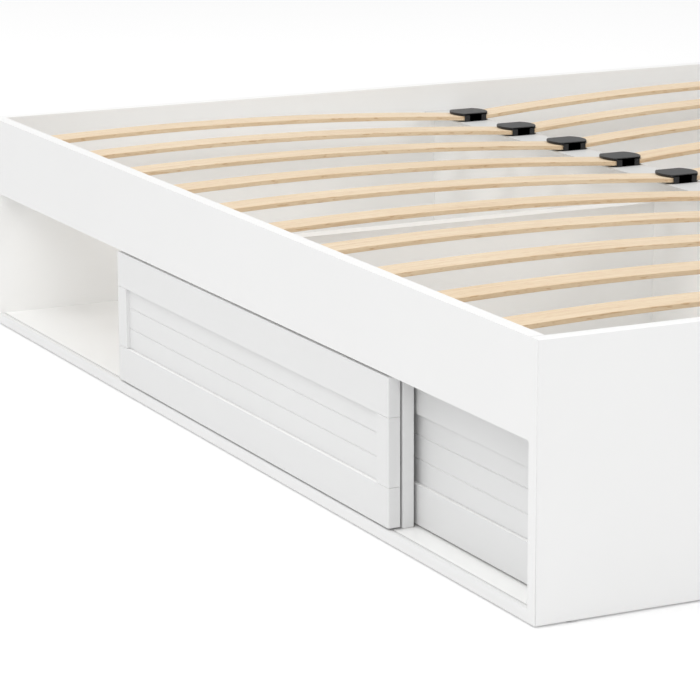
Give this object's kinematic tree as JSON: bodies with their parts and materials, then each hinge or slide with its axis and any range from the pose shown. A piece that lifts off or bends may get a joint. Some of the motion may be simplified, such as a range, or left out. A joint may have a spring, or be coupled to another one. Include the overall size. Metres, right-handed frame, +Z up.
{
  "type": "wooden bed frame",
  "caption": "Double bed frame with bent slats in two columns, plain white end panels, and storage bays behind panelled sliding doors under each side rail",
  "frame": {"origin": "centre of the rectangle that the bed stands on, at ground level", "axes": "+Z up, +Y along the bed from the foot panel to the head panel, +X across the bed; the side with x below zero is the left side"},
  "size_m": [1.86, 2.06, 0.39],
  "materials": {
    "painted_board": "satin white painted board",
    "door_paint": "satin white painted door frame and panel",
    "rail_coating": "light grey coated strip",
    "slat_wood": "clear lacquered laminated beech",
    "ledge_wood": "planed pine",
    "black_plastic": "moulded black plastic, fine texture",
    "fitting_plastic": "white moulded plastic and coated screws",
    "zinc": "zinc plated",
    "glide_plastic": "grey plastic glide"
  },
  "bodies": {
    "frame": {"foot_end_panel": "painted_board", "head_end_panel": "painted_board", "centre_partition": "painted_board", "centre_rail": "rail_coating", "left_side_rail": "painted_board", "left_floor_lipping": "painted_board", "left_storage_floor": "painted_board", "left_cross_partition": "painted_board", "left_track_board": "painted_board", "left_slat_ledge": "ledge_wood", "right_side_rail": "painted_board", "right_floor_lipping": "painted_board", "right_storage_floor": "painted_board", "right_cross_partition": "painted_board", "right_track_board": "painted_board", "right_slat_ledge": "ledge_wood", "left_slat_01": "slat_wood", "left_slat_02": "slat_wood", "left_slat_03": "slat_wood", "left_slat_04": "slat_wood", "left_slat_05": "slat_wood", "left_slat_06": "slat_wood", "left_slat_07": "slat_wood", "left_slat_08": "slat_wood", "left_slat_09": "slat_wood", "left_slat_10": "slat_wood", "right_slat_01": "slat_wood", "right_slat_02": "slat_wood", "right_slat_03": "slat_wood", "right_slat_04": "slat_wood", "right_slat_05": "slat_wood", "right_slat_06": "slat_wood", "right_slat_07": "slat_wood", "right_slat_08": "slat_wood", "right_slat_09": "slat_wood", "right_slat_10": "slat_wood", "centre_slat_caps": "black_plastic", "side_slat_holders": "black_plastic", "track_guides": "painted_board", "floor_guides": "fitting_plastic", "cam_locks": "zinc", "cam_bolts": "zinc", "ledge_screws": "zinc", "floor_glides": "glide_plastic"},
    "left_front_door": {"left_front_door_frame": "door_paint", "left_front_door_panel": "door_paint", "left_front_door_battens": "door_paint", "left_front_door_fittings": "fitting_plastic"},
    "left_rear_door": {"left_rear_door_frame": "door_paint", "left_rear_door_panel": "door_paint", "left_rear_door_battens": "door_paint", "left_rear_door_fittings": "fitting_plastic"},
    "right_front_door": {"right_front_door_frame": "door_paint", "right_front_door_panel": "door_paint", "right_front_door_battens": "door_paint", "right_front_door_fittings": "fitting_plastic"},
    "right_rear_door": {"right_rear_door_frame": "door_paint", "right_rear_door_panel": "door_paint", "right_rear_door_battens": "door_paint", "right_rear_door_fittings": "fitting_plastic"}
  },
  "joints": [
    {"name": "left_front_door_slide", "type": "slide", "parent": "frame", "child": "left_front_door", "axis": [0, 1, 0], "range_m": [-0.403, 0.593]},
    {"name": "left_rear_door_slide", "type": "slide", "parent": "frame", "child": "left_rear_door", "axis": [0, 1, 0], "range_m": [0, 0.996]},
    {"name": "right_front_door_slide", "type": "slide", "parent": "frame", "child": "right_front_door", "axis": [0, 1, 0], "range_m": [-0.996, 0]},
    {"name": "right_rear_door_slide", "type": "slide", "parent": "frame", "child": "right_rear_door", "axis": [0, 1, 0], "range_m": [0, 0.996]}
  ]
}
